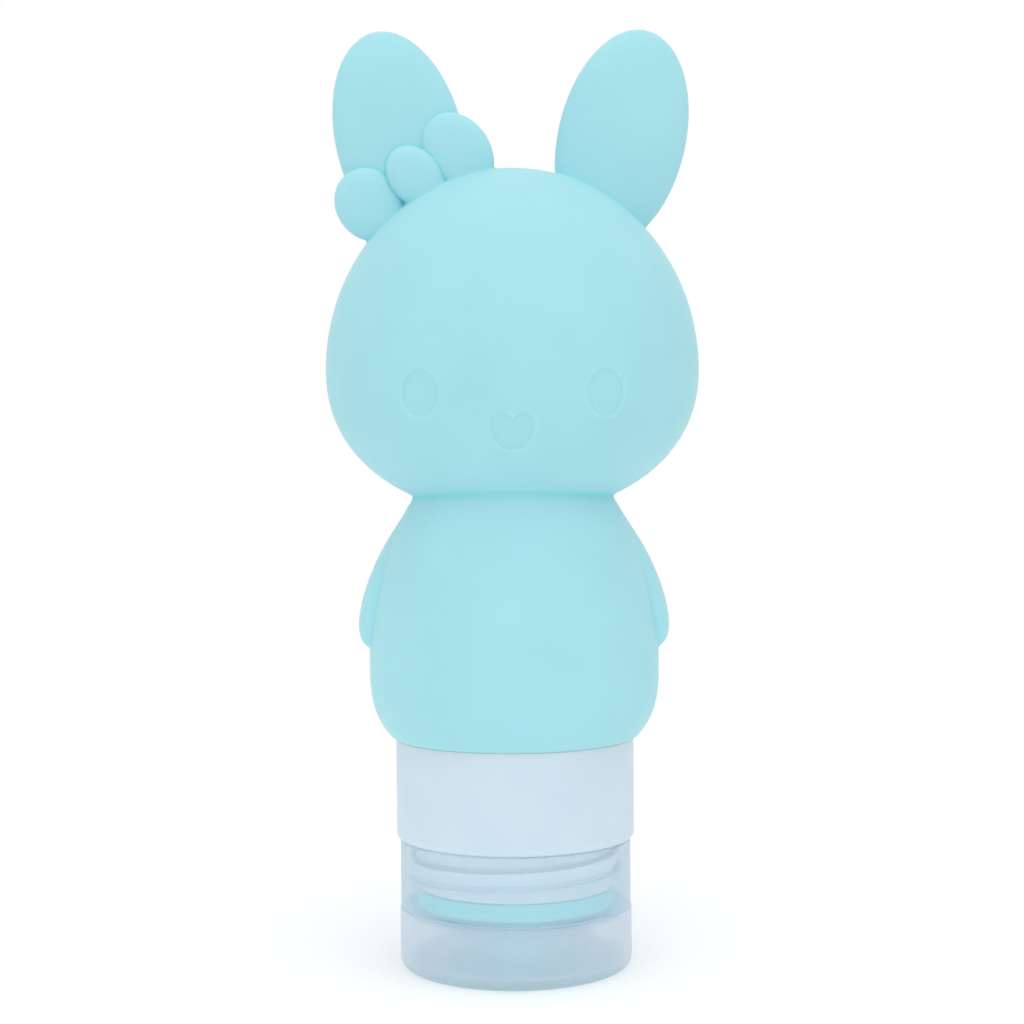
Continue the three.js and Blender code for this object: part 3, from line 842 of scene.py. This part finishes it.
def settled(points, rounds=2):
    # Moves points onto the skin along its slope
    most = net["longestMove"]
    for _ in range(rounds):
        distance = skinDistance(*points.T)
        slope = np.stack(slopes(skinDistance, distance, *points.T), 1)
        square = np.maximum((slope ** 2).sum(1), net["leastSlope"] ** 2)
        points = points - np.clip(distance / square, -most, most)[:, None] * slope
    return points


def skinField():
    low = np.array(bottleLow) - net["reach"]
    counts = np.ceil((np.array(bottleHigh) + net["reach"] - low) / net["step"]).astype(int)
    x, y, z = [low[k] + net["step"] * np.arange(counts[k]) for k in range(3)]
    slabs = [skinDistance(x[:, None, None], y[None, :, None], z[None, None, part])
             for part in np.array_split(np.arange(counts[2]), net["slabs"])]
    return np.concatenate(slabs, 2), low


def finerWhere(mesh, pick):
    # Splits the faces that pick chooses and settles every point again
    working = opened(mesh)
    edges = {edge for shape in pick(working) for edge in shape.edges}
    bmesh.ops.subdivide_edges(working, edges=list(edges), cuts=1, use_grid_fill=True)
    wide = [shape for shape in working.faces if len(shape.verts) > 4]
    bmesh.ops.triangulate(working, faces=wide)
    points = settled(np.array([vertex.co for vertex in working.verts]) / mm) * mm
    for vertex, point in zip(working.verts, points):
        vertex.co = point
    return closed(working, mesh)


def bentFaces(working):
    bent = [edge for edge in working.edges if edge.calc_face_angle(0) > math.radians(net["bend"])]
    return {shape for edge in bent for shape in edge.link_faces}


def faceMarks(working):
    centres = np.array([shape.calc_center_median() for shape in working.faces]) / mm
    x, y, z = centres.T
    eye = np.abs(eyeRim(x, z)) * face["eyeHalfWidth"]
    nose = np.abs(noseRim(x, z)) * face["noseHalfWidth"]
    near = (np.minimum(eye, nose) < net["markReach"]) & (y < 0)
    near &= np.abs(z - cheekLevel) < face["finerHeight"]
    working.faces.ensure_lookup_table()
    return [working.faces[k] for k in np.flatnonzero(near)]


def cavityMesh(r):
    # The liquid's room: the neck's bore, then the figure drawn in by the wall
    f = figure
    floor, mouth = f["foot"] + f["wall"], lipLevel - r["past"]
    quarter = math.pi / 2
    rings = [[(0, 0, mouth)]]

    def addRing(spread, z, inset, scale=1):
        halfWidth, halfDepth = [(float(v) - inset) * scale for v in spread]
        rings.append(ovalRing(halfWidth, halfDepth, z, r["sides"]))
    for z in (mouth, floor):
        addRing((f["boreRadius"],) * 2, z, 0)
    for turn in np.linspace(0, quarter, r["edgeRows"]):
        inset = f["wall"] + f["roomEdge"] * (1 - math.sin(turn))
        addRing(bodySpread(np.array(floor)), floor + f["roomEdge"] * (1 - math.cos(turn)), inset)
    for z in np.linspace(floor + f["roomEdge"], waistLevel, r["bodyRows"])[1:-1]:
        addRing(bodySpread(np.array(z)), z, f["wall"])
    for z in np.linspace(waistLevel, cheekLevel, r["headRows"])[:-1]:
        addRing(headSpread(np.array(z))[:2], z, f["wall"])
    rise = f["crown"] - f["wall"]
    widest = (f["cheekHalfWidth"], f["cheekHalfDepth"])
    for turn in np.linspace(0, quarter, r["crownRows"])[:-1]:
        addRing(widest, cheekLevel + rise * math.sin(turn), f["wall"], math.cos(turn))
    rings.append([(0, 0, cheekLevel + rise)])
    return stackedRings(rings)


def makeBottle():
    field, low = skinField()
    print("skin worked out on", field.shape)
    points, quads = surfaceNet(field, low, net["step"])
    mesh = plainMesh(settled(points), quads)
    for pick in (bentFaces, faceMarks, faceMarks):
        mesh = finerWhere(mesh, pick)
    mesh = combined(facedOutwards(mesh), cavityMesh(room), "DIFFERENCE")
    print("bottle skin with", len(mesh.polygons), "faces")
    return finished("siliconeBody", mesh, siliconeFinish, 50)


def markPaintedLight(mesh, onSkin=0.1):
    # How far each point stands out from what is round it, or lies sunk in it, as the amount of painted
    # highlight or painted shade it gets
    near = figure["reliefReach"]
    x, y, z = pointsOf(mesh).T
    around = sum(skinDistance(x + near * a, y + near * b, z + near * c)
                 for a, b, c in np.vstack([np.eye(3), -np.eye(3)])) / 6
    here = skinDistance(x, y, z)
    paintedLightAmount = np.where(np.abs(here) < onSkin, (around - here) / near, 0)
    # painted shade in the eyes and nose is made weaker
    inFace = (y < 0) & (np.abs(z - cheekLevel) < face["shadeHeight"])
    paintedLightAmount = np.where(inFace & (paintedLightAmount < 0), paintedLightAmount * face["shade"], paintedLightAmount)
    # painted shade: a broad darker band along the crease between head and body
    offWaist = (bowedLevel(y, z) - waistLevel) / figure["shadeReach"]
    paintedLightAmount -= figure["waistShade"] * np.exp(-offWaist ** 2)
    paintedLightAmount = np.where(z < figure["foot"], figure["neckShade"], paintedLightAmount)  # partly painted shade, as the neck sits in the cap's shade, partly the deeper colour of its thick silicone
    setPaintedLight(mesh, paintedLightAmount)


siliconeBody = makeBottle()
markPaintedLight(siliconeBody.data)
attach(siliconeBody, "bottle")
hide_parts("silicone_bottle")

# Neck parts
collar = {"radius": 19.6, "wall": 1.5, "edge": 0.8, "web": 1.5, "sleeveWall": 1.5, "sleeveOuter": 16.2,
          "bottom": 21.6, "sleeveRecess": 0.5, "ribs": 8, "ribWidth": 1.0, "threadHeight": 1.0,
          "threadStart": 14.8, "seam": 0.03, "sleeveEdge": 0.15, "topEdge": 0.25, "slack": 0.1,
          "press": 0.06,  # how far it sinks into the soft foot
          "paintedSleeveLight": 0.18}  # painted light: the sleeve is drawn lighter towards its top, where the collar's shade falls
support = {"width": 1, "edge": 0.25}
thread = {"Pitch": 3.5, "Turns": 1.5, "Root Width": 1.8, "Crest Width": 1.1, "Lead In": 0.12,
          "End Size": 0.03, "Points": 160}
roundSides, ringSides = 160, 120  # sides of the collar, cap and lid, and of the smaller rings


def plainRing(name, low, high, r):
    inner, outer = high.x - r["width"], high.x
    corners = [(inner, low.z, r["edge"]), (outer, low.z, r["edge"]),
               (outer, high.z, r["edge"]), (inner, high.z, r["edge"])]
    return finished(name, turned(corners, ringSides), supportFinish)


def threadMesh(wallRadius, height, startHeight, startAngle, finish):
    return grownMesh(threadRidge, threadSockets, {
        **thread, "Wall Radius": wallRadius, "Height": height, "Start Height": startHeight,
        "Start Angle": startAngle, "Finish": finish,
    })


def makeCollar(c):
    wallInner = c["radius"] - c["wall"]
    webTop = c["bottom"] + c["web"]
    sleeveInner = c["sleeveOuter"] - c["sleeveWall"]
    sleeveTop = collarHigh.z - c["sleeveRecess"]
    sleeveEnd = collarLow.z - gap + c["seam"]
    top = figure["foot"] + c["press"]
    mesh = turned([
        (sleeveInner, sleeveEnd, sharp), (c["sleeveOuter"], sleeveEnd, c["sleeveEdge"]),
        (c["sleeveOuter"], c["bottom"], soft), (c["radius"], c["bottom"] - closer, c["edge"]),
        (c["radius"], top, sharp), (wallInner, top, sharp),
        (wallInner, webTop, soft), (c["sleeveOuter"], webTop, soft),
        (c["sleeveOuter"], sleeveTop, c["topEdge"]), (sleeveInner, sleeveTop, c["topEdge"]),
    ], roundSides)
    tall = sleeveTop - webTop
    ribs = grownMesh(ribRing, ribSockets, {
        "Ribs": c["ribs"], "Middle Radius": (wallInner + c["sleeveOuter"]) / 2,
        "Middle Height": webTop + tall / 2 - gap, "Depth": wallInner - c["sleeveOuter"] + 2 * gap,
        "Thickness": c["ribWidth"], "Tall": tall, "Finish": collarFinish,
    })
    mesh = combined(mesh, ribs, "UNION")
    ridge = threadMesh(c["sleeveOuter"], c["threadHeight"], c["threadStart"], 0.0, collarFinish)
    mesh = combined(mesh, ridge, "UNION")
    x, y, z = pointsOf(mesh).T
    reach = c["sleeveOuter"] + c["threadHeight"] + c["slack"]
    sleeve = (z < c["bottom"] + c["slack"]) & (np.hypot(x, y) < reach)
    # painted light on the sleeve, growing towards the collar
    lit = np.clip((z - sleeveEnd) / (c["bottom"] - sleeveEnd), 0, 1) * c["paintedSleeveLight"]
    setPaintedLight(mesh, np.where(sleeve, lit, 0))
    return finished("neckCollar", mesh, collarFinish)


neckRing = plainRing("neckRing", ringLow, ringHigh, support)
neckCollar = makeCollar(collar)
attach(neckRing, "bottle")
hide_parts("neck_support_ring")
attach(neckCollar, "bottle")
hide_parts("neck_collar")
print("neck parts made")

# Cap with its valve
cap = {"radius": 19, "wall": 1.5, "platformRadius": 12, "orifice": 6.5, "bottom": 10.3, "top": 21.3,
       "deckBottom": 8.6, "deckThickness": 1.5, "platformFace": 6.4, "platformThickness": 1.6,
       "deckRadius": 17.45, "pocketOuter": 11, "pocketInner": 10, "pocketBead": 0.45,
       "beadHeight": 0.6, "pocketTop": 12.6, "chamfer": 1, "chamferRise": 1.2,
       "threadHeight": 0.9, "threadStart": 14.8, "threadAngle": math.pi, "edge": 0.35, "rim": 0.4}
valve = {"skirt": 6.2, "skirtWall": 0.9, "membrane": 0.7, "dish": 0.3, "flange": 9.7,
         "flangeBottom": 8.3, "slitLength": 7.4, "slitWidth": 0.12, "slitEdge": 0.01, "lipEdge": 0.15,
         "rim": 0.5, "cut": (-1, 3)}  # cut: the slits' lower and upper end, above its bottom
retainer = {"width": 2.7, "edge": 0.25}
hinge = {"halfWidth": 6, "lugHeight": 2, "lugSink": 1.05, "edge": 0.3, "rows": 12}


def lugMesh(wallRadius, low, high):
    return boxMesh((-hinge["halfWidth"], wallRadius - hinge["lugSink"], low),
                   (hinge["halfWidth"], strapHigh.y, high), hinge["edge"])


def makeCap(c):
    inner = c["radius"] - c["wall"]
    deckTop = c["deckBottom"] + c["deckThickness"]
    pocketFloor = c["platformFace"] + c["platformThickness"]
    beadInner, beadBottom = c["pocketInner"] - c["pocketBead"], c["pocketTop"] - c["beadHeight"]
    mesh = turned([
        (c["orifice"], c["platformFace"], soft), (c["platformRadius"], c["platformFace"], c["rim"]),
        (c["platformRadius"], c["deckBottom"], soft), (c["deckRadius"], c["deckBottom"], soft),
        (c["deckRadius"], c["bottom"] - closer, fine), (c["radius"], c["bottom"] - closer, c["edge"]),
        (c["radius"], c["top"], c["edge"]), (inner, c["top"], c["edge"]),
        (inner, deckTop + c["chamferRise"], soft), (inner - c["chamfer"], deckTop, soft),
        (c["pocketOuter"], deckTop, soft), (c["pocketOuter"], c["pocketTop"], soft),
        (beadInner, c["pocketTop"], fine), (beadInner, beadBottom, sharp),
        (c["pocketInner"], beadBottom, sharp),
        (c["pocketInner"], pocketFloor, fine), (c["orifice"], pocketFloor, soft),
    ], roundSides)
    ridge = threadMesh(inner, -c["threadHeight"], c["threadStart"], c["threadAngle"], capFinish)
    mesh = combined(mesh, ridge, "UNION")
    lug = lugMesh(c["radius"], strapHigh.z + gap, strapHigh.z + gap + hinge["lugHeight"])
    return finished("screwCap", combined(mesh, lug, "UNION"), capFinish)


def makeValve(v):
    bottom, top = valveLow.z, valveHigh.z
    inner, dished = v["skirt"] - v["skirtWall"], bottom + v["dish"]
    mesh = turned([
        (0, dished, 0), (inner, bottom, v["rim"]),
        (v["skirt"], dished, v["lipEdge"]), (v["skirt"], v["flangeBottom"], fine),
        (v["flange"], v["flangeBottom"], soft), (v["flange"], top, soft),
        (v["skirt"] + v["dish"], top, fine), (inner, v["flangeBottom"], soft),
        (inner, dished + v["membrane"], fine), (0, dished + v["membrane"], 0),
    ], ringSides)
    low, high = [bottom + level for level in v["cut"]]
    length, width = v["slitLength"] / 2, v["slitWidth"] / 2
    for x, y in ((length, width), (width, length)):
        mesh = combined(mesh, boxMesh((-x, -y, low), (x, y, high), v["slitEdge"]), "DIFFERENCE")
    return finished("slitValve", mesh, valveFinish)


screwCap = makeCap(cap)
slitValve = makeValve(valve)
valveRing = plainRing("valveRing", retainerLow, retainerHigh, retainer)
for piece, body, node, slotName in (
        (screwCap, "cap", "screw_cap", "cap_plastic"),
        (slitValve, "valve_core", "dispensing_valve", "valve_silicone"),
        (valveRing, "valve_core", "valve_retainer", "support_plastic")):
    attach(piece, body)
    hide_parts(node)
print("cap and valve made")

# Flip lid and its strap
lid = {"radius": 19.15, "height": 10, "wall": 1.4, "plate": 1.4, "edge": 2, "outerRim": 0.35,
       "innerRim": 0.25, "plateEdge": 1, "ringInner": 12.3, "ringWall": 1, "ringTop": 8.3,
       "plugRadius": 4.6, "plugWall": 1, "plugTop": 6.4,
       "baseShade": 2.8, "basePaintedShade": -0.25}  # painted shade near the floor: height up to which the lid's base is drawn darker, and how much


def makeLid(p):
    inner = p["radius"] - p["wall"]
    plugInner, ringOuter = p["plugRadius"] - p["plugWall"], p["ringInner"] + p["ringWall"]
    mesh = turned([
        (0, 0, 0), (p["radius"], 0, p["edge"]), (p["radius"], p["height"] + closer, p["outerRim"]),
        (inner, p["height"] + closer, p["innerRim"]), (inner, p["plate"], p["plateEdge"]),
        (ringOuter, p["plate"], soft), (ringOuter, p["ringTop"], soft),
        (p["ringInner"], p["ringTop"], soft), (p["ringInner"], p["plate"], soft),
        (p["plugRadius"], p["plate"], soft),
        (p["plugRadius"], p["plugTop"], soft), (plugInner, p["plugTop"], soft),
        (plugInner, p["plate"], soft), (0, p["plate"], 0),
    ], roundSides)
    lug = lugMesh(p["radius"], strapLow.z - gap - hinge["lugHeight"], strapLow.z - gap)
    mesh = combined(mesh, lug, "UNION")
    # painted shade on the lid's base, fading upwards
    baseShadeShare = np.clip(1 - pointsOf(mesh)[:, 2] / p["baseShade"], 0, 1)
    setPaintedLight(mesh, baseShadeShare * p["basePaintedShade"])
    return finished("flipLid", mesh, lidFinish)


def makeStrap():
    # A thin strip, cut into rows along its height
    reach = gap + hinge["edge"]
    low, high = strapLow.z - reach, strapHigh.z + reach
    x, back, front = hinge["halfWidth"], strapHigh.y, strapLow.y
    rings = []
    for row in range(hinge["rows"] + 1):
        z = low + (high - low) * row / hinge["rows"]
        rings.append([(-x, front, z), (x, front, z), (x, back, z), (-x, back, z)])
    mesh = stackedRings(rings)
    working = opened(mesh)
    bmesh.ops.holes_fill(working, edges=[edge for edge in working.edges if edge.is_boundary], sides=4)
    return finished("hingeStrip", facedOutwards(closed(working, mesh)), capFinish)


flipLid = makeLid(lid)
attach(flipLid, "lid")
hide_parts("flip_lid")
hingeStrip = makeStrap()
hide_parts("hinge_strap")
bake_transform(hingeStrip)
print("lid and strap made")


# Floor, light and background
white = (1, 1, 1, 1)
studio = {"floorRadius": 0.4, "floorSides": 96, "floorDrop": 0.05 * mm, "floorTone": 0.97,
          "floorGlow": 0.12, "floorRoughness": 0.9, "floorGloss": 0.1, "fadeStart": 0.1,
          "fadeEnd": 0.26, "world": 0.8, "keyPower": 0.94, "keySize": 0.9, "aim": (0, 0, 0.08),
          "lamps": {"topLamp": ((0.05, -0.35, 0.95), 2.2), "frontLamp": ((-0.18, -1.1, 0.5), 1.4)}}


def makeFloor(s):
    working = bmesh.new()
    bmesh.ops.create_circle(working, cap_ends=True, radius=s["floorRadius"], segments=s["floorSides"])
    bmesh.ops.translate(working, verts=working.verts, vec=(0, 0, -s["floorDrop"]))
    material, tree, inputs = newMaterial("paleFloor")
    vector = addNode(tree, "ShaderNodeTexCoord", {})["Object"]
    away = vectorNode(tree, "LENGTH", {0: vector})["Value"]
    feed(tree, inputs, {
        "Base Color": (s["floorTone"],) * 3 + (1,), "Roughness": s["floorRoughness"],
        "Specular IOR Level": s["floorGloss"], "Emission Color": white,
        "Emission Strength": s["floorGlow"],
        "Alpha": ramp(tree, away, s["fadeStart"], s["fadeEnd"], 1.0, 0.0)})
    floor = addObject("floor", closed(working), material)


def makeWorld(s):
    world = bpy.data.worlds.new("studio")
    bpy.context.scene.world = world
    world.use_nodes = True
    tree = world.node_tree
    light = tree.nodes["Background"]
    feed(tree, light.inputs, {"Color": white, "Strength": s["world"]})
    seen = addNode(tree, "ShaderNodeBackground", {"Color": white, "Strength": 1.0})
    path = addNode(tree, "ShaderNodeLightPath", {})
    direct = mathNode(tree, "MAXIMUM", path["Is Camera Ray"], path["Is Glossy Ray"])
    either = mathNode(tree, "MAXIMUM", direct, path["Is Transmission Ray"])
    both = addNode(tree, "ShaderNodeMixShader", {0: either, 1: light.outputs[0], 2: seen[0]})
    feed(tree, tree.nodes["World Output"].inputs, {"Surface": both[0]})


def addLamp(name, place, power, s):
    data = bpy.data.lights.new(name, "AREA")
    data.energy = s["keyPower"] * power
    data.shape = "DISK"
    data.size = s["keySize"]
    lamp = newObject(name, data)
    lamp.location = place
    lamp.rotation_euler = (Vector(s["aim"]) - Vector(place)).to_track_quat("-Z", "Y").to_euler()


makeFloor(studio)
makeWorld(studio)
for lampName, (place, power) in studio["lamps"].items():
    addLamp(lampName, place, power, studio)
bpy.context.scene.view_settings.view_transform = "Standard"
bpy.context.scene.cycles.transparent_max_bounces = 40  # a look through cap and lid crosses many walls
print("studio ready")
